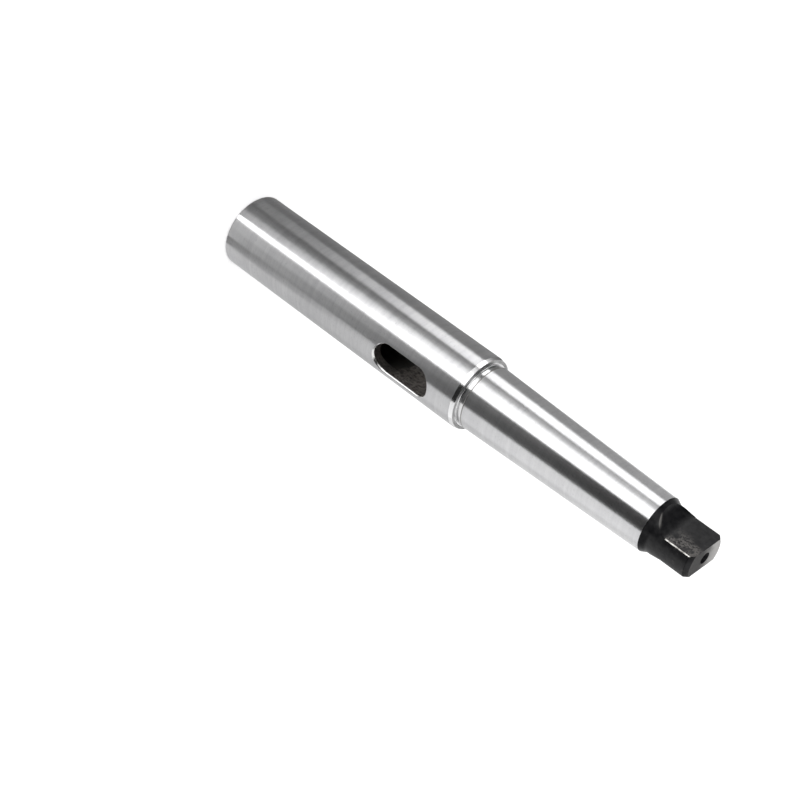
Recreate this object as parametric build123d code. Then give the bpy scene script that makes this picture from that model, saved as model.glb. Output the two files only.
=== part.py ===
from build123d import *

import math
import os

# Extended taper sleeve: one turned, milled and ground steel piece that carries a tool's taper shank
# in its socket and fits a machine spindle with its own shank. Lengths are in millimetres.
# It stands on its socket mouth. The origin is the centre of the mouth face, +Z points to the tang,
# and +X runs through the drift slot.

# Self-holding taper, size 4, the same for the shank and the socket
gauge_diameter = 31.267
taper_run = 19.254  # length over which the diameter falls by one

# Socket, bored from the mouth face
socket_depth = 107.0  # to the end of the full bore
relief_length = 15.0  # straight bore past the ground taper
drill_point_angle = 118.0
socket_break = 0.5

# Drift slot, milled right through
slot_overlap = 8.6  # how far the slot reaches back over the bore
slot_length = 32.2
slot_width = 14.3
slot_break = 0.7  # across the body
slot_break_depth = 1.2  # down the slot's walls

# Body
mouth_wall = 2.4665  # at the mouth face, where the socket leaves the least metal
slot_to_shoulder = 16.4
mouth_break = 0.5
lead_length = 2.0  # shallow chamfer in front of the shoulder
lead_depth = 0.5

# Shank
shank_length = 124.0  # shoulder to the end of the tang
gauge_offset = 6.5  # shoulder to the plane of the gauge diameter
relief_width = 2.9
relief_depth = 0.23  # under the start of the ground taper
relief_fillet = 0.6

# Tang
tang_length = 24.0  # end of the ground taper to the end of the tang
tang_step = 1.4  # how far the tang lies under the small end of the ground taper
tang_thickness = 11.4
flat_length = 12.7
runout_radius = 10.0
neck_cone_length = 2.8
end_chamfer = 1.8
tang_break = 0.3  # on the long corners of the flats

# Centre hole in the tang's end
centre_diameter = 5.6
centre_angle = 60.0
pilot_diameter = 2.5
pilot_depth = 7.0

# Stations along the axis
slot_start = socket_depth - slot_overlap
shoulder_z = slot_start + slot_length + slot_to_shoulder
gauge_z = shoulder_z + gauge_offset
taper_start_z = shoulder_z + relief_width
tang_end_z = shoulder_z + shank_length
taper_end_z = tang_end_z - tang_length
flat_start_z = tang_end_z - flat_length


def shank_radius(z):
    """Radius of the shank's taper at height z."""
    return (gauge_diameter - (z - gauge_z) / taper_run) / 2


def socket_radius(z):
    """Radius of the socket's taper at height z. The mouth face is its gauge plane."""
    return (gauge_diameter - z / taper_run) / 2


# Radii that follow from the two tapers
body_radius = socket_radius(0) + mouth_wall
tang_radius = shank_radius(taper_end_z) - tang_step


def revolved(outline):
    """Solid of revolution about Z from the lines of a half section drawn in X and Z."""
    return revolve(Plane.XZ * make_face(outline), Axis.Z)


def turned_blank():
    """The outside as it leaves the lathe and the grinder."""
    relief_radius = shank_radius(taper_start_z) - relief_depth
    body_side = Polyline(
        (0, 0),
        (body_radius - mouth_break, 0),
        (body_radius, mouth_break),
        (body_radius, shoulder_z - lead_length),
        (body_radius - lead_depth, shoulder_z),
        (relief_radius + relief_fillet, shoulder_z),
    )
    corner = RadiusArc(body_side @ 1, (relief_radius, shoulder_z + relief_fillet), relief_fillet)
    shank_side = Polyline(
        corner @ 1,
        (relief_radius, taper_start_z - relief_depth),
        (shank_radius(taper_start_z), taper_start_z),
        (shank_radius(taper_end_z), taper_end_z),
        (tang_radius, taper_end_z + neck_cone_length),
        (tang_radius, tang_end_z - end_chamfer),
        (tang_radius - end_chamfer, tang_end_z),
        (0, tang_end_z),
        (0, 0),
    )
    return revolved([body_side, corner, shank_side])


def socket():
    """Taper socket, straight relief bore and drill point."""
    taper_depth = socket_depth - relief_length
    bore_radius = socket_radius(taper_depth)
    point_length = bore_radius / math.tan(math.radians(drill_point_angle / 2))
    return revolved(
        Polyline(
            (0, 0),
            (socket_radius(socket_break) + socket_break, 0),
            (socket_radius(socket_break), socket_break),
            (bore_radius, taper_depth),
            (bore_radius, socket_depth),
            (0, socket_depth + point_length),
            (0, 0),
        )
    )


def centre_hole():
    """Centre hole that the sleeve is turned and ground on."""
    cone_depth = (centre_diameter - pilot_diameter) / 2 / math.tan(math.radians(centre_angle / 2))
    point_depth = pilot_diameter / 2 / math.tan(math.radians(drill_point_angle / 2))
    return revolved(
        Polyline(
            (0, tang_end_z),
            (centre_diameter / 2, tang_end_z),
            (pilot_diameter / 2, tang_end_z - cone_depth),
            (pilot_diameter / 2, tang_end_z - pilot_depth),
            (0, tang_end_z - pilot_depth - point_depth),
            (0, tang_end_z),
        )
    )


def drift_slot():
    """Full-radius slot along X, through both walls."""
    middle_z = slot_start + slot_length / 2
    outline = SlotOverall(slot_length, slot_width, rotation=90)
    return extrude(Plane.YZ * Pos(0, middle_z) * outline, 2 * body_radius, both=True)


def tang_flat(side):
    """Metal milled off one side of the tang, with the cutter's radius left as the run-out."""
    face_y = tang_thickness / 2
    outside_y = face_y + runout_radius + tang_radius
    above_z = tang_end_z + end_chamfer
    foot_z = flat_start_z - runout_radius
    flat = Polyline((outside_y, above_z), (face_y, above_z), (face_y, flat_start_z))
    runout = RadiusArc(flat @ 1, (face_y + runout_radius, foot_z), -runout_radius)
    back = Polyline(runout @ 1, (outside_y, foot_z), (outside_y, above_z))
    cutter = extrude(Plane.YZ * make_face([flat, runout, back]), 2 * body_radius, both=True)
    return cutter if side > 0 else cutter.mirror(Plane.XZ)


def slotted(blank):
    """The blank with the drift slot through it and the slot's rims broken."""
    cut = blank - drift_slot()
    outside = cut.faces().filter_by(GeomType.CYLINDER).sort_by(SortBy.AREA)[-1]
    rims = []
    for edge in cut.edges() - blank.edges():
        middle = edge @ 0.5
        if math.hypot(middle.X, middle.Y) > body_radius - slot_break:
            rims.append(edge)
    return chamfer(rims, slot_break, slot_break_depth, reference=outside)


def tanged(blank):
    """The blank with both tang flats milled and their long corners broken."""
    cut = blank - tang_flat(1) - tang_flat(-1)
    corners = []
    for edge in cut.edges().filter_by(Axis.Z):
        middle = edge @ 0.5
        off_flat = abs(abs(middle.Y) - tang_thickness / 2)
        if middle.Z > flat_start_z and off_flat < tang_break:
            corners.append(edge)
    return chamfer(corners, tang_break)


def make_sleeve():
    """The whole sleeve: turned, slotted, milled, then bored and centred."""
    return tanged(slotted(turned_blank())) - socket() - centre_hole()


os.makedirs("parts", exist_ok=True)
sleeve = make_sleeve()
export_step(sleeve, "parts/sleeve.step")
print("length", round(tang_end_z, 3), "volume", round(sleeve.volume, 1), "valid", sleeve.is_valid)
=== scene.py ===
import math

import bmesh
import bpy
from mathutils import Matrix, Vector


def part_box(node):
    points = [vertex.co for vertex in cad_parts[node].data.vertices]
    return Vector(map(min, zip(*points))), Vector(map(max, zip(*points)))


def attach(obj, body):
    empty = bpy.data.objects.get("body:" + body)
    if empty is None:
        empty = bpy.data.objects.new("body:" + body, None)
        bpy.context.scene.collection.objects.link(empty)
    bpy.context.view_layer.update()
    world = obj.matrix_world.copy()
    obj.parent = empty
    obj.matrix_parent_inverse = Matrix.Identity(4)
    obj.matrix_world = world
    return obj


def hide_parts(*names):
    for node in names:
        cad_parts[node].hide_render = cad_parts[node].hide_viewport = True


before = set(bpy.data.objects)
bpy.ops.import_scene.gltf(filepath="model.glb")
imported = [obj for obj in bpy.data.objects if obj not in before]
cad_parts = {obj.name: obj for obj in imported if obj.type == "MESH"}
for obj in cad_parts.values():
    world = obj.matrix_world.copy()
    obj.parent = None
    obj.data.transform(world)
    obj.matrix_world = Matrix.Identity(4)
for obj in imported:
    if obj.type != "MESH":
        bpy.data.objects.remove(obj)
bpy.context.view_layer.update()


# Turned blank: one bar of hardened steel, turned on centres and bored from the mouth to a No. 4
# taper socket, then ground to size on the body and on the shank. Its outline is revolved about Z.
# All sizes are in millimetres, with the mouth at 0.
mm = 0.001
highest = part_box("sleeve")[1]
length = highest.z / mm
body_radius = highest.x / mm
taper_run = 19.254  # length in which a taper's diameter falls by one millimetre
gauge_diameter = 31.267

mouth_break = 0.5
socket_depth = 92
bore_depth = 107
drill_half_angle = math.radians(59)
socket_radius = (gauge_diameter - mouth_break / taper_run) / 2
bore_radius = (gauge_diameter - socket_depth / taper_run) / 2
drill_point = bore_radius / math.tan(drill_half_angle)

shoulder_z = length - 124.0
shoulder_break_length = 2.0
shoulder_break_depth = 0.5
relief_width = 2.9
relief_depth = 0.23
# Length of the painted dark line where the shank starts: painted shade in the corner.
shaded_edge = 0.4
taper_start_z = shoulder_z + relief_width
taper_end_z = length - 24.0
shank_gauge_z = shoulder_z + 6.5

neck_length = 2.8
neck_step = 1.4
end_break = 1.8
centre_radius = 2.8
centre_half_angle = math.radians(30)
pilot_radius = 1.25
pilot_depth = 7.0
pilot_point = 0.75
centre_depth = (centre_radius - pilot_radius) / math.tan(centre_half_angle)

turns = 360
arc_step = math.radians(9)
on_axis = 1e-6
turned_finishes = ["ground", "turned", "faced", "bore", "black", "struck"]
finishes = ["ground", "turned", "faced", "bore", "slot", "slot_break",
            "black", "milled", "worn", "struck"]


def shank_radius(z):
    """Radius of the ground taper at height z."""
    return (gauge_diameter - (z - shank_gauge_z) / taper_run) / 2


relief_radius = shank_radius(taper_start_z) - relief_depth
tang_radius = shank_radius(taper_end_z) - neck_step

# Each corner is (z, radius, rounding, finish of the surface that follows it).
outline_corners = [
    (bore_depth + drill_point, 0, 0, "bore"),
    (bore_depth, bore_radius, 0.3, "bore"),
    (socket_depth, bore_radius, 0, "bore"),
    (mouth_break, socket_radius, 0.15, "turned"),
    (0, socket_radius + mouth_break, 0.15, "turned"),
    (0, body_radius - mouth_break, 0.15, "turned"),
    (mouth_break, body_radius, 0.15, "ground"),
    (shoulder_z - shoulder_break_length, body_radius, 0.6, "turned"),
    (shoulder_z, body_radius - shoulder_break_depth, 0.2, "faced"),
    (shoulder_z, relief_radius, 0.6, "turned"),
    (taper_start_z - relief_depth, relief_radius, 0.1, "turned"),
    # The shank's first edge takes the bore's dark colour, a painted line of shade in the corner.
    (taper_start_z, shank_radius(taper_start_z), 0.1, "bore"),
    (taper_start_z + shaded_edge, shank_radius(taper_start_z + shaded_edge), 0, "ground"),
    (taper_end_z, shank_radius(taper_end_z), 0.15, "black"),
    (taper_end_z + neck_length, tang_radius, 3.0, "black"),
    (length - end_break, tang_radius, 0.8, "black"),
    (length, tang_radius - end_break, 0.5, "struck"),
    (length, centre_radius, 0.1, "black"),
    (length - centre_depth, pilot_radius, 0, "black"),
    (length - pilot_depth, pilot_radius, 0, "black"),
    (length - pilot_depth - pilot_point, 0, 0, "black"),
]


def rounded(corners):
    """The outline through the corners as (z, radius, finish), with an arc at each rounded one."""
    outline = []
    for i, (z, r, rounding, finish) in enumerate(corners):
        if not rounding:
            outline.append((z, r, finish))
            continue
        here = Vector((z, r))
        back = (Vector(corners[i - 1][:2]) - here).normalized()
        ahead = (Vector(corners[i + 1][:2]) - here).normalized()
        half = back.angle(ahead) / 2
        reach = rounding / math.tan(half)
        centre = here + (back + ahead).normalized() * rounding / math.sin(half)
        start = here + back * reach - centre
        steps = max(2, math.ceil((math.pi - 2 * half) / arc_step))
        turn = start.angle_signed(here + ahead * reach - centre)
        for k in range(steps + 1):
            spoke = start.copy()
            spoke.rotate(Matrix.Rotation(-turn * k / steps, 2))
            outline.append((*(centre + spoke), finish))
    return outline


def put(name, data):
    """An object of the data, in the scene."""
    thing = bpy.data.objects.new(name, data)
    bpy.context.scene.collection.objects.link(thing)
    return thing


def steel_form(name, bm):
    """An object of the closed form in bm, with a material slot for each finish."""
    mesh = bpy.data.meshes.new(name)
    bmesh.ops.recalc_face_normals(bm, faces=bm.faces)
    bm.to_mesh(mesh)
    bm.free()
    for finish in finishes:
        mesh.materials.append(bpy.data.materials[finish])
    return put(name, mesh)


def lathe(name, outline):
    """The form of an outline revolved about Z. The outline starts and ends on the axis."""
    bm = bmesh.new()
    rings = []
    for z, r, _ in outline:
        ring = []
        for k in range(1 if r < on_axis else turns):
            angle = math.tau * k / turns
            ring.append(bm.verts.new((r * mm * math.cos(angle), r * mm * math.sin(angle), z * mm)))
        rings.append(ring)
    for inner, outer, (_, _, finish) in zip(rings, rings[1:], outline):
        for k in range(turns):
            corners = []
            for ring, turn in ((inner, k), (outer, k), (outer, k + 1), (inner, k + 1)):
                vert = ring[turn % len(ring)]
                if vert not in corners:
                    corners.append(vert)
            bm.faces.new(corners).material_index = finishes.index(finish)
    return steel_form(name, bm)


for finish in finishes:
    bpy.data.materials.new(finish)
sleeve = lathe("ground_sleeve", rounded(outline_corners))


# Ground and turned surfaces: the wheel leaves fine rings on the body and the shank, which spread
# every reflection along the sleeve. The turned breaks are brighter, the ring that is faced at the
# shoulder gleams across its tool marks, and the socket is dull, its colour darkened by painted shade.
ground_dark = (0.66, 0.66, 0.67, 1)
ground_light = (0.78, 0.78, 0.785, 1)
ground_speck = (0.42, 0.42, 0.43, 1)
turned_dark = (0.72, 0.72, 0.73, 1)
turned_light = (0.88, 0.88, 0.88, 1)
faced_dark = (0.5, 0.5, 0.5, 1)
faced_light = (0.8, 0.8, 0.8, 1)
# The bore's two tones are painted dark, as shade in the hollow and in the shank's corner.
bore_shade_dark = (0.22, 0.21, 0.20, 1)
bore_shade_light = (0.34, 0.33, 0.31, 1)
sheen_turn = 0.25  # a quarter turn, so that the sheen lies across the rings


class Shade:
    """An output in a finish's nodes. Sums and products of such outputs add Math nodes."""

    def __init__(self, tree, socket=None):
        self.tree = tree
        self.socket = socket

    def node(self, kind, settings, inputs, output=0):
        """Adds a node with its settings first, then the values or links of its inputs."""
        made = self.tree.nodes.new("ShaderNode" + kind)
        for name, value in settings.items():
            setattr(made, name, value)
        for name, value in inputs.items():
            if isinstance(value, Shade):
                self.tree.links.new(value.socket, made.inputs[name])
            else:
                made.inputs[name].default_value = value
        return Shade(self.tree, made.outputs[output] if made.outputs else None)

    def math(self, operation, *others):
        return self.node("Math", {"operation": operation}, dict(enumerate((self, *others))))

    def __add__(self, other):
        return self.math("ADD", other)

    def __sub__(self, other):
        return self.math("SUBTRACT", other)

    def __rsub__(self, other):
        return self.node("Math", {"operation": "SUBTRACT"}, {0: other, 1: self})

    def __mul__(self, other):
        return self.math("MULTIPLY", other)

    __radd__ = __add__
    __rmul__ = __mul__

    def step(self, low, high):
        """0 below low, 1 above high, smooth between."""
        settings = {"interpolation_type": "SMOOTHSTEP"}
        return self.node("MapRange", settings, {"Value": self, "From Min": low, "From Max": high})

    def mix(self, first, second):
        """Colour between two others, with this value as the share of the second."""
        return self.node("Mix", {"data_type": "RGBA"}, {0: self, 6: first, 7: second}, 2)

    def noise(self, scale, detail=2.0):
        """Noise at this place, with so many grains to the metre along each axis."""
        spread = self.node("VectorMath", {"operation": "MULTIPLY"}, {0: self, 1: scale})
        return spread.node("TexNoise", {}, {"Vector": spread, "Scale": 1.0, "Detail": detail})


def cleared(owner):
    """The empty nodes of a material or of the world."""
    owner.use_nodes = True
    owner.node_tree.nodes.clear()
    return Shade(owner.node_tree)


def place_on(finish):
    """The place on the sleeve in metres, as the first of a finish's nodes."""
    return cleared(bpy.data.materials[finish]).node("TexCoord", {}, {}, "Object")


def lay(place, height, depth, **sockets):
    """Ends a finish: its bump of the given height and depth in metres, and its shader."""
    bump = place.node("Bump", {}, {"Height": height, "Distance": depth, "Strength": 1.0})
    inputs = {name.replace("_", " "): value for name, value in sockets.items()}
    shader = place.node("BsdfPrincipled", {}, {"Normal": bump, **inputs})
    place.node("OutputMaterial", {}, {"Surface": shader})


def ground_finish():
    """Fine rings, the wheel's slight chatter, and clouds, bands and specks in the steel's tone."""
    place = place_on("ground")
    rings = place.noise((90, 90, 5200))
    chatter = place.noise((220, 220, 1100), 3.0)
    clouds = place.noise((45, 45, 30), 3.0)
    bands = place.noise((20, 20, 500), 3.0)
    specks = place.noise((1300, 1300, 1300), 2.0).step(0.60, 0.78)
    tone = (0.45 * clouds + 0.35 * bands + 0.2 * chatter).step(0.36, 0.64)
    clean = tone.mix(ground_dark, ground_light)
    colour = (0.5 * specks).mix(clean, ground_speck)
    roughness = 0.24 + 0.06 * clouds + 0.05 * chatter
    lay(place, rings * 0.3 + chatter * 0.7, 0.025 * mm, Base_Color=colour, Metallic=1.0,
        Roughness=roughness, Anisotropic=0.97, Anisotropic_Rotation=sheen_turn)


def turned_finish():
    """The breaks and the relief groove, smooth from a fine tool."""
    place = place_on("turned")
    rings = place.noise((60, 60, 3500))
    colour = rings.mix(turned_dark, turned_light)
    lay(place, rings, 0.012 * mm, Base_Color=colour, Metallic=1.0, Roughness=0.17,
        Anisotropic=0.5, Anisotropic_Rotation=sheen_turn)


def faced_finish():
    """The flat ring at the shoulder, which gleams where it faces a bright side of the room."""
    place = place_on("faced")
    rings = place.noise((800, 800, 800))
    colour = rings.mix(faced_dark, faced_light)
    lay(place, rings, 0.015 * mm, Base_Color=colour, Metallic=1.0, Roughness=0.3,
        Anisotropic=0.9, Anisotropic_Rotation=sheen_turn)


def bore_finish():
    """The socket, the bore behind it and the shank's first edge: dull, and darkened by painted shade.
    """
    place = place_on("bore")
    rings = place.noise((60, 60, 2600))
    colour = rings.mix(bore_shade_dark, bore_shade_light)
    lay(place, rings, 0.02 * mm, Base_Color=colour, Metallic=1.0, Roughness=0.4)


ground_finish()
turned_finish()
faced_finish()
bore_finish()


# Drift slot: milled right through both walls with an end mill, so its ends have the full radius,
# and its two rims are broken, deeper into the wall than across it. The slot opens the socket's end.
# Its walls are dull from the mill and darkened by painted shade, which is deepest at the low end.
slot_half_width = 7.15
slot_bottom = 98.4
slot_top = 130.6
rim_width = 0.7
rim_depth = 1.2
rim_bulge = 0.35  # share of the way from a flat break to the sharp corner
rim_turn = 0.85  # how far round the edge the rounding goes before it leaves the body
rim_steps = 5
rim_clear = 3.0
end_steps = 48
slot_reach = 30.0
# Where the painted shade at the slot's low end is full and where it ends.
low_shade_full_z = slot_bottom + 4.6
low_shade_end_z = slot_bottom + 13.6
# The walls' two tones are painted dark, as shade in the slot.
slot_shade_dark = (0.18, 0.165, 0.157, 1)
slot_shade_light = (0.44, 0.41, 0.392, 1)
slot_speck = (0.66, 0.63, 0.6, 1)
# Painted shade colour for the slot's low end.
low_end_shade = (0.05, 0.047, 0.044, 1)
break_dark = (0.76, 0.76, 0.75, 1)
break_light = (0.92, 0.92, 0.91, 1)


def tool(name, rings, ring_finishes):
    """Closed cutter through rings of points in millimetres, with flat ends."""
    bm = bmesh.new()
    made = [[bm.verts.new(Vector(point) * mm) for point in ring] for ring in rings]
    for ring, following, finish in zip(made, made[1:], ring_finishes):
        for k in range(len(ring)):
            after = (k + 1) % len(ring)
            face = bm.faces.new((ring[k], ring[after], following[after], following[k]))
            face.material_index = finishes.index(finish)
    for ring in (made[0], made[-1]):
        bm.faces.new(ring).material_index = finishes.index(ring_finishes[0])
    return steel_form(name, bm)


def cut(piece, cutter):
    """Cuts the cutter out of the piece for good, and removes the cutter."""
    step = piece.modifiers.new("cut", "BOOLEAN")
    step.operation = "DIFFERENCE"
    step.solver = "EXACT"
    step.material_mode = "INDEX"
    step.object = cutter
    whole = piece.data
    seen = piece.evaluated_get(bpy.context.evaluated_depsgraph_get())
    piece.data = bpy.data.meshes.new_from_object(seen)
    piece.modifiers.clear()
    bpy.data.meshes.remove(whole)
    bpy.data.meshes.remove(cutter.data)


def slot_tool():
    """Cutter along X: the slot's walls inside, flared at both rims by the rounded edge."""
    one_side = [[] for _ in range(rim_steps + 3)]
    for end_z, start in ((slot_top - slot_half_width, 0.0), (slot_bottom + slot_half_width, math.pi)):
        for k in range(end_steps + 1):
            angle = start + math.pi * k / end_steps
            out = Vector((0, math.cos(angle), math.sin(angle)))
            rim = Vector((0, 0, end_z)) + slot_half_width * out
            rim.x = math.sqrt(body_radius**2 - rim.y**2)
            outside = rim + rim_width * Vector((0, out.y * rim.x / body_radius, out.z))
            outside.x = math.sqrt(body_radius**2 - outside.y**2)
            inside = rim - Vector((rim_depth, 0, 0))
            crown = inside.lerp(outside, 0.5).lerp(rim, rim_bulge)
            for step in range(rim_steps + 1):
                part = rim_turn * step / rim_steps
                here = (1 - part) ** 2 * inside + 2 * part * (1 - part) * crown + part**2 * outside
                one_side[step].append(here)
            ahead = (1 - rim_turn) * (crown - inside) + rim_turn * (outside - crown)
            clear = here + rim_clear * ahead.normalized()
            one_side[-2].append(clear)
            one_side[-1].append(Vector((slot_reach, clear.y, clear.z)))
    other_side = [[Vector((-p.x, p.y, p.z)) for p in ring] for ring in reversed(one_side)]
    rims = ["slot_break"] * (rim_steps + 2)
    return tool("slot_tool", other_side + one_side, rims + ["slot"] + rims)


def parted(place):
    """The x, y and z of a place as values of their own."""
    return [place.node("SeparateXYZ", {}, {0: place}, axis) for axis in "XYZ"]


def slot_finish():
    """The walls: dull metal, mill streaks and cleaner specks, with painted shade that deepens at the
    low end.
    """
    place = place_on("slot")
    grain = place.noise((1800, 300, 300))
    specks = place.noise((900, 900, 900), 3.0).step(0.4, 0.66)
    dull = grain.step(0.35, 0.65).mix(slot_shade_dark, slot_shade_light)
    clean = (0.6 * specks).mix(dull, slot_speck)
    z = parted(place)[2]
    # Painted shade, full at the slot's low end and fading upwards.
    low_shade = 0.7 * (1 - z.step(low_shade_full_z * mm, low_shade_end_z * mm))
    colour = low_shade.mix(clean, low_end_shade)
    lay(place, grain + specks * 0.5, 0.06 * mm, Base_Color=colour, Metallic=1.0, Roughness=0.48)


def slot_break_finish():
    """The broken rims, bright."""
    place = place_on("slot_break")
    grain = place.noise((900, 900, 900))
    colour = grain.mix(break_dark, break_light)
    lay(place, grain, 0.02 * mm, Base_Color=colour, Metallic=1.0, Roughness=0.22)


cut(sleeve, slot_tool())
slot_finish()
slot_break_finish()


# Tang: turned down behind the taper, then milled flat on two sides with a large end mill, which
# leaves its radius as the run-out. It was never ground, so it keeps the black of the heat
# treatment, and is rubbed bright where the spindle drives it. One side of its end face and a stretch
# of each run-out's edge are painted lighter, as painted highlights.
tang_thickness = 11.4
flat_start_z = length - 12.7
runout_radius = 10.0
runout_steps = 24
corner_break = 0.3
corner_runout = 1.6
corner_reach = 2.0
tool_reach = 16.0
tool_past_end = 2.0
corner_past_end = 1.0
# Where the painted highlight on the run-out's edge is full and where it ends.
glint_full_z = flat_start_z - 7.3
glint_end_z = flat_start_z - 5.3
wear_start_z = flat_start_z - 2.8
wear_full_z = flat_start_z + 0.2
scale_dark = (0.004, 0.004, 0.005, 1)
scale_light = (0.014, 0.014, 0.015, 1)
rubbed_neck = (0.06, 0.056, 0.052, 1)
# Painted highlight colour for the run-out's edge.
runout_glint = (0.13, 0.125, 0.12, 1)
rubbed_flat = (0.16, 0.15, 0.142, 1)
corner_dark = (0.16, 0.15, 0.14, 1)
corner_bare = (0.74, 0.73, 0.7, 1)
end_dark = (0.055, 0.053, 0.052, 1)
# Painted highlight colour for one side of the tang's end face.
end_lit_side = (0.5, 0.49, 0.48, 1)
scale_gloss = {"Metallic": 0.0, "Roughness": 0.36, "Specular_IOR_Level": 0.22}


def flat_tool(side):
    """Cutter for one flat of the tang, with the round of its run-out."""
    face_y = tang_thickness / 2
    outline = [(tool_reach, length + tool_past_end), (face_y, length + tool_past_end)]
    for k in range(runout_steps + 1):
        angle = math.pi / 2 * k / runout_steps
        run_y = face_y + runout_radius * (1 - math.cos(angle))
        outline.append((run_y, flat_start_z - runout_radius * math.sin(angle)))
    outline.append((tool_reach, flat_start_z - runout_radius))
    rings = [[(x, side * y, z) for y, z in outline] for x in (-tool_reach, tool_reach)]
    return tool("flat_tool", rings, ["milled"])


def corner_tool(side_x, side_y):
    """Cutter that breaks one long corner of the tang."""
    corner = Vector((math.sqrt(tang_radius**2 - (tang_thickness / 2) ** 2), tang_thickness / 2))
    out = (corner.normalized() + Vector((0, 1))).normalized()
    depth = corner_break * math.sqrt(1 - out.y**2)
    foot = corner - out * depth
    along = Vector((-out.y, out.x)) * corner_reach
    away = out * corner_reach
    section = [foot + along, foot - along, foot - along + away, foot + along + away]
    rings = [[(side_x * p.x, side_y * p.y, z) for p in section]
             for z in (flat_start_z - corner_runout, length + corner_past_end)]
    return tool("corner_tool", rings, ["worn"])


def scale_on(place):
    """Furnace scale: near black, a little lighter in blotches."""
    blotches = place.noise((420, 420, 420), 4.0).step(0.3, 0.7)
    return blotches.mix(scale_dark, scale_light)


def driving(x, y, low, high):
    """Rises from 0 to 1 towards the two corners that drive, where -x * y is about 70 mm2."""
    return (x * y * -1.0).step(low * mm**2, high * mm**2)


def glint_stretch(x, y, z):
    """The stretch of a run-out's edge that gets a painted highlight: round the corner that drives, and
    low down.
    """
    return driving(x, y, 48, 62) * (1 - z.step(glint_full_z * mm, glint_end_z * mm))


def black_finish():
    """The neck, the end's rim and the centre hole, rubbed here and there, with a painted highlight at
    the run-out.
    """
    place = place_on("black")
    grain = place.noise((500, 500, 900), 4.0)
    x, y, z = parted(place)
    over = y.math("ABSOLUTE") - (tang_thickness / 2 + runout_radius) * mm
    along = z - flat_start_z * mm
    off_edge = (over * over + along * along).math("SQRT") - runout_radius * mm
    # A painted highlight along the run-out's edge, near the corner that drives.
    glint = (1 - off_edge.step(0.05 * mm, 0.4 * mm)) * glint_stretch(x, y, z)
    rubbed = 0.6 * place.noise((260, 260, 260), 4.0).step(0.6, 0.74)
    colour = rubbed.mix(scale_on(place), rubbed_neck)
    lay(place, grain, 0.03 * mm, Base_Color=glint.mix(colour, runout_glint), **scale_gloss)


def milled_finish():
    """The flats, each rubbed through on the half that drives, with a painted highlight at the run-out's
    edge.
    """
    place = place_on("milled")
    grain = place.noise((500, 900, 900), 4.0)
    x, y, z = parted(place)
    past_runout = z.step(wear_start_z * mm, wear_full_z * mm)
    patches = place.noise((240, 240, 190), 5.0).step(0.32, 0.6)
    specks = place.noise((1300, 1300, 1300), 3.0).step(0.36, 0.58)
    worn = 0.7 * (driving(x, y, -16, 45) * past_runout) * patches * specks
    radius = (x * x + y * y).math("SQRT")
    at_edge = radius.step((tang_radius - 1.3) * mm, (tang_radius - 0.2) * mm)
    on_neck = 1 - radius.step((tang_radius + 0.4) * mm, (tang_radius + 0.9) * mm)
    # A painted highlight along the run-out's edge, near the corner that drives.
    glint = at_edge * on_neck * glint_stretch(x, y, z)
    colour = worn.mix(scale_on(place), rubbed_flat)
    lay(place, grain, 0.03 * mm, Base_Color=glint.mix(colour, runout_glint), **scale_gloss)


def worn_finish():
    """The long corners, bare metal where they are rubbed most."""
    place = place_on("worn")
    grain = place.noise((500, 500, 420), 4.0)
    colour = grain.step(0.3, 0.68).mix(corner_dark, corner_bare)
    lay(place, grain, 0.04 * mm, Base_Color=colour, Metallic=1.0, Roughness=0.35)


def half_lit_end_finish():
    """The tang's end face, one side of it painted lighter as a painted highlight with a ragged edge."""
    place = place_on("struck")
    grain = place.noise((700, 700, 700), 4.0)
    x, y, z = parted(place)
    ragged = place.noise((240, 240, 240), 4.0)
    on_face = z.step((length - 0.6) * mm, (length - 0.2) * mm)
    # One side of the end face painted lighter, a painted highlight with a ragged edge.
    lit_side = (ragged * (8 * mm) - x).step(1 * mm, 11.5 * mm) * on_face
    colour = lit_side.mix(end_dark, end_lit_side)
    lay(place, grain, 0.03 * mm, Base_Color=colour, Metallic=0.3, Roughness=0.4)


for side in (1, -1):
    cut(sleeve, flat_tool(side))
for side_x in (1, -1):
    for side_y in (1, -1):
        cut(sleeve, corner_tool(side_x, side_y))
black_finish()
milled_finish()
worn_finish()
half_lit_end_finish()


# Surface form: what is turned or ground is truly round, and what is milled is truly flat or curved.
# Each corner of each face gets that true normal, so that the long reflections run straight.
crease = math.cos(math.radians(24))


def true_normals(piece):
    """Sets the normal of each face corner to that of the real surface."""
    mesh = piece.data
    is_turned = [finishes[face.material_index] in turned_finishes for face in mesh.polygons]
    slopes, around = [], [[] for _ in mesh.vertices]
    for face in mesh.polygons:
        flat = Vector((face.normal.x, face.normal.y, 0))
        outward = 1 if flat.dot(face.center) > 0 else -1
        slopes.append((outward * flat.length, face.normal.z))
        for vertex in face.vertices:
            around[vertex].append(face.index)
    spokes = [Vector((v.co.x, v.co.y, 0)).normalized() for v in mesh.vertices]

    def normal_at(face, vertex):
        if is_turned[face] and spokes[vertex].length > 0.5:
            out, up = slopes[face]
            return spokes[vertex] * out + Vector((0, 0, up))
        return mesh.polygons[face].normal

    normals = []
    for face in mesh.polygons:
        for vertex in face.vertices:
            own = normal_at(face.index, vertex)
            total = Vector()
            for other in around[vertex]:
                if is_turned[other] == is_turned[face.index]:
                    there = normal_at(other, vertex)
                    if there.dot(own) > crease:
                        total += there * mesh.polygons[other].area
            normals.append(total.normalized() if total.length > 0 else own)
    mesh.normals_split_custom_set(normals)


for face in sleeve.data.polygons:
    face.use_smooth = True
true_normals(sleeve)
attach(sleeve, "root")
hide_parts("sleeve")


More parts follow.
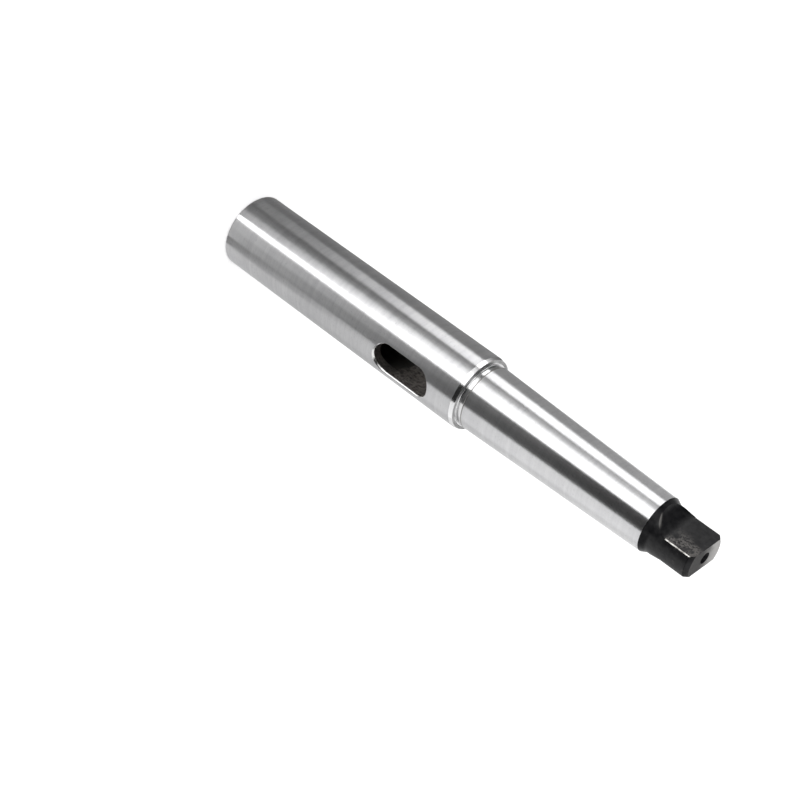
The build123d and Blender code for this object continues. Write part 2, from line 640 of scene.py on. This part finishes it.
# Floor and air: a wide sheet of matt white paper under the sleeve, and white air over it. Both
# are white to the camera and in the steel, and the paper takes the sleeve's soft shadow.
floor_size = 6.0
paper_colour = (0.86, 0.86, 0.86, 1)
paper_glow = 0.34
white = (1, 1, 1, 1)
air_light = 0.7  # the air's strength as a light


def sheet(name, corners, faces, stock):
    """A sheet of the given stock, in the scene."""
    mesh = bpy.data.meshes.new(name)
    mesh.from_pydata(corners, [], faces)
    mesh.materials.append(stock)
    laid = put(name, mesh)
    return laid


def looking(nodes):
    """1 on rays from the camera, mirrored by the steel or seen through it, and 0 on light."""
    rays = ("Is Camera Ray", "Is Glossy Ray", "Is Transmission Ray")
    seen, mirrored, through = [nodes.node("LightPath", {}, {}, ray) for ray in rays]
    return seen + mirrored + through


paper = bpy.data.materials.new("paper")
nodes = cleared(paper)
matt = nodes.node("BsdfDiffuse", {}, {"Color": paper_colour})
glow = nodes.node("Emission", {}, {"Color": white, "Strength": paper_glow})
lit = nodes.node("AddShader", {}, {0: matt, 1: glow})
shown = nodes.node("MixShader", {}, {0: looking(nodes), 1: matt, 2: lit})
nodes.node("OutputMaterial", {}, {"Surface": shown})
quarters = ((-1, -1), (1, -1), (1, 1), (-1, 1))
floor_corners = [(x * floor_size, y * floor_size, 0) for x, y in quarters]
sheet("floor", floor_corners, [(0, 1, 2, 3)], paper)

air = bpy.data.worlds.new("studio")
bpy.context.scene.world = air
nodes = cleared(air)
strength = air_light + (1 - air_light) * looking(nodes)
glow = nodes.node("Background", {}, {"Color": white, "Strength": strength})
nodes.node("OutputWorld", {}, {"Surface": glow})


# Cards: sheets of black, grey and bright card laid round the sleeve's foot and turned up far out,
# with curtains over them, as round any polished cylinder in a light tent. Only the steel sees them.
view_side = math.radians(-46.0)
paper_gap = 0.0004
card_steps = 24
card_end = 0.9  # where the cards end, in metres from the body
fold = 0.27  # how high their ends are turned up
lip = 0.04  # how far up the far cards stay dark
curtain_foot = 0.28
roof_place = 0.1
roof_height = 2.4
card_stock = bpy.data.materials.new("card_stock")
nodes = cleared(card_stock)
own_tone = nodes.node("Attribute", {"attribute_name": "tone"}, {}, "Fac")
glow = nodes.node("Emission", {}, {"Strength": own_tone})
nodes.node("OutputMaterial", {}, {"Surface": glow})


def steel_only(name, corners, faces, tones):
    """A card with a tone at each corner, which only the reflections in the steel show."""
    laid = sheet(name, corners, faces, card_stock)
    laid.data.attributes.new("tone", "FLOAT", "POINT").data.foreach_set("value", tones)
    laid.visible_camera = False
    laid.visible_diffuse = False
    laid.visible_shadow = False
    laid.visible_transmission = False


def card(name, *stations):
    """A card through stations of (distance from the body, height, first edge, last edge, tone).

    An edge is given as where its streak lies round the body, in degrees from the middle of the view.
    """
    corners, faces, tones = [], [], []
    for reach, height, first, last, tone in stations:
        for k in range(card_steps + 1):
            spot = view_side - math.radians(first + (last - first) * k / card_steps)
            ray = 2 * spot - view_side
            x = body_radius * mm * math.cos(spot) + reach * math.cos(ray)
            y = body_radius * mm * math.sin(spot) + reach * math.sin(ray)
            corners.append((x, y, height + paper_gap))
            tones.append(tone)
    for row in range(len(stations) - 1):
        for k in range(card_steps):
            a = (card_steps + 1) * row + k
            b = a + card_steps + 1
            faces.append((a, a + 1, b + 1, b))
    steel_only(name, corners, faces, tones)


card("key_card", (0, 0, -2.2, 4.5, 2.2), (0.11, 0, -2.5, 6, 2.2), (0.24, 0, -3.0, 11.5, 2.2),
     (card_end, 0, -3.2, 17, 2.2), (card_end, fold, -3.2, 17, 2.2))
card("key_edge_card", (0, 0, 4.5, 15, 0.33), (0.11, 0, 6, 15.6, 0.58), (0.24, 0, 11.5, 18.3, 1.1))
card("thin_card", (0, 0, 15, 27.5, 0.15), (0.11, 0, 15.6, 28.1, 0.13), (0.2, 0, 17.6, 29.8, 0.115),
     (0.24, 0, 18.3, 30.7, 0.09), (0.3, 0, 19.4, 29.2, 0.13), (0.36, 0, 21.3, 27.7, 0.22),
     (0.46, 0, 23, 27.4, 0.38), (0.52, 0, 24.6, 28.4, 0.52), (card_end, 0, 24.6, 28.4, 0.55),
     (card_end, fold, 24.6, 28.4, 0.55))
card("second_card", (0, 0, 27.5, 43.5, 0.09), (0.09, 0, 28.0, 43.5, 0.1), (0.19, 0, 29.6, 43.5, 0.2),
     (0.27, 0, 30.0, 43.5, 1.8), (0.36, 0, 27.7, 43.5, 2.3), (0.46, 0, 27.4, 43.5, 2.3),
     (0.52, 0, 28.4, 43.5, 2.3), (card_end, 0, 28.4, 43.5, 2.3), (card_end, fold, 28.4, 43.5, 2.3))
card("far_card", (0, 0, 43.5, 62, 0.14), (0.24, 0, 43.5, 62, 0.16), (0.31, 0, 43.5, 62, 0.17),
     (0.38, 0, 43.5, 62, 0.17), (0.5, 0, 43.5, 62, 0.17), (card_end, 0, 43.5, 62, 0.2),
     (card_end, lip, 43.5, 62, 1.2), (card_end, fold, 43.5, 62, 1.2))
card("far_rim_card", (0, 0, 62, 90, 0.21), (0.24, 0, 62, 90, 0.21), (0.31, 0, 62, 84, 0.2),
     (0.38, 0, 62, 79, 0.18), (0.5, 0, 62, 76, 0.17), (card_end, 0, 62, 76, 0.2),
     (card_end, lip, 62, 90, 1.2), (card_end, fold, 62, 90, 1.2))
card("near_edge_card", (0, 0, -2.2, -17, 0.66), (0.05, 0, -2.4, -17, 0.68), (0.11, 0, -2.5, -17, 0.76),
     (0.16, 0, -2.8, -17, 0.62), (0.23, 0, -3.0, -17, 0.24), (0.32, 0, -3.0, -17, 0.04),
     (card_end, 0, -3.2, -17, 0.02))
card("near_card", (0, 0, -17, -31, 0.6), (0.05, 0, -17, -31, 0.5), (0.11, 0, -17, -31, 0.52),
     (0.16, 0, -17, -31, 0.4), (0.22, 0, -17, -30.5, 0.22), (0.3, 0, -17, -30.5, 0.05),
     (card_end, 0, -17, -30.5, 0.02))
card("near_curtain", (card_end, 0, -3.2, -30.5, 0.02), (card_end, 2.0, -3.2, -30.5, 0.02),
     (roof_place, roof_height, -3.2, -30.5, 0.02))
card("low_dark_card", (0, 0, -31, -44, 0.25), (0.07, 0, -31, -43.5, 0.25), (0.15, 0, -31, -41, 0.34))
card("low_side_card", (0, 0, -44, -90, 0.68), (0.07, 0, -43.5, -90, 0.62), (0.15, 0, -41, -90, 0.45))
card("low_far_card", (0.15, 0, -31, -58, 0.45), (0.24, 0, -30.5, -58, 0.68), (0.32, 0, -30.5, -58, 1.0),
     (0.45, 0, -30.5, -58, 1.2), (card_end, 0, -30.5, -58, 1.2))
card("low_rim_card", (0.15, 0, -58, -90, 0.45), (0.24, 0, -58, -90, 0.6), (0.45, 0, -58, -90, 0.85),
     (card_end, 0, -58, -90, 0.9))
card("key_curtain", (card_end, 1.0, -3.2, 17, 0.04), (card_end, 2.0, -3.2, 17, 0.04),
     (roof_place, roof_height, -3.2, 17, 0.04))
for name, head, first, last, tone in (
    ("upper_curtain", 2.5, 17, 72, 0.05),
    ("upper_back_curtain", 2.5, 86, 90, 0.05),
    ("lower_curtain", 0.75, -31, -72, 0.25),
    ("lower_back_curtain", 2.5, -86, -90, 0.05),
):
    card(name, (card_end, curtain_foot, first, last, tone), (card_end, head, first, last, tone))


# Foot: the paper close round the sleeve's mouth lies in the dark, and the mouth's broken edge
# mirrors that. A dark disc under the cards stands for it.
foot_radius = (body_radius + 0.8) * mm
foot_steps = 72
foot_height = paper_gap / 8
foot_tone = 0.03
foot_turns = [math.tau * k / foot_steps for k in range(foot_steps)]
foot_corners = [(foot_radius * math.cos(a), foot_radius * math.sin(a), foot_height)
                for a in foot_turns]
steel_only("shade_card", foot_corners, [tuple(range(foot_steps))], [foot_tone] * foot_steps)


# Lamps: one large soft key lamp over the camera's side and a weaker one behind. They light the
# paper and the dull surfaces, and the steel mirrors neither.
lamp_size = 1.2
lamp_aim = Vector((0, 0, 0.13))


def lamp(name, place, power):
    """A square soft lamp that points at the middle of the sleeve."""
    data = bpy.data.lights.new(name, "AREA")
    data.shape = "SQUARE"
    data.size = lamp_size
    data.energy = power
    hung = put(name, data)
    hung.location = place
    hung.rotation_euler = (lamp_aim - hung.location).to_track_quat("-Z", "Y").to_euler()
    hung.visible_glossy = False


lamp("key_lamp", Vector((0.55, -0.95, 1.35)), power=10)
lamp("back_lamp", Vector((-0.9, 0.9, 1.2)), power=5)


# Camera: the photograph's own, worked out from the outlines of the body, the taper and the tang.
# Its roll lays the standing sleeve across the picture.
camera_data = bpy.data.cameras.new("camera")
camera_data.sensor_width = 36.0
camera_data.lens = 82.08
camera = put("camera", camera_data)
camera_place = Vector((0.50908, -0.49456, 0.49691))
camera_aim = Vector((0.01629, 0.01573, 0.11678))
camera_roll = Matrix.Rotation(math.radians(126.894), 3, "Z")
look = (camera_aim - camera_place).to_track_quat("-Z", "Y").to_matrix()
camera.matrix_world = Matrix.Translation(camera_place) @ (look @ camera_roll).to_4x4()
bpy.context.scene.camera = camera
bpy.context.scene.view_settings.view_transform = "Standard"
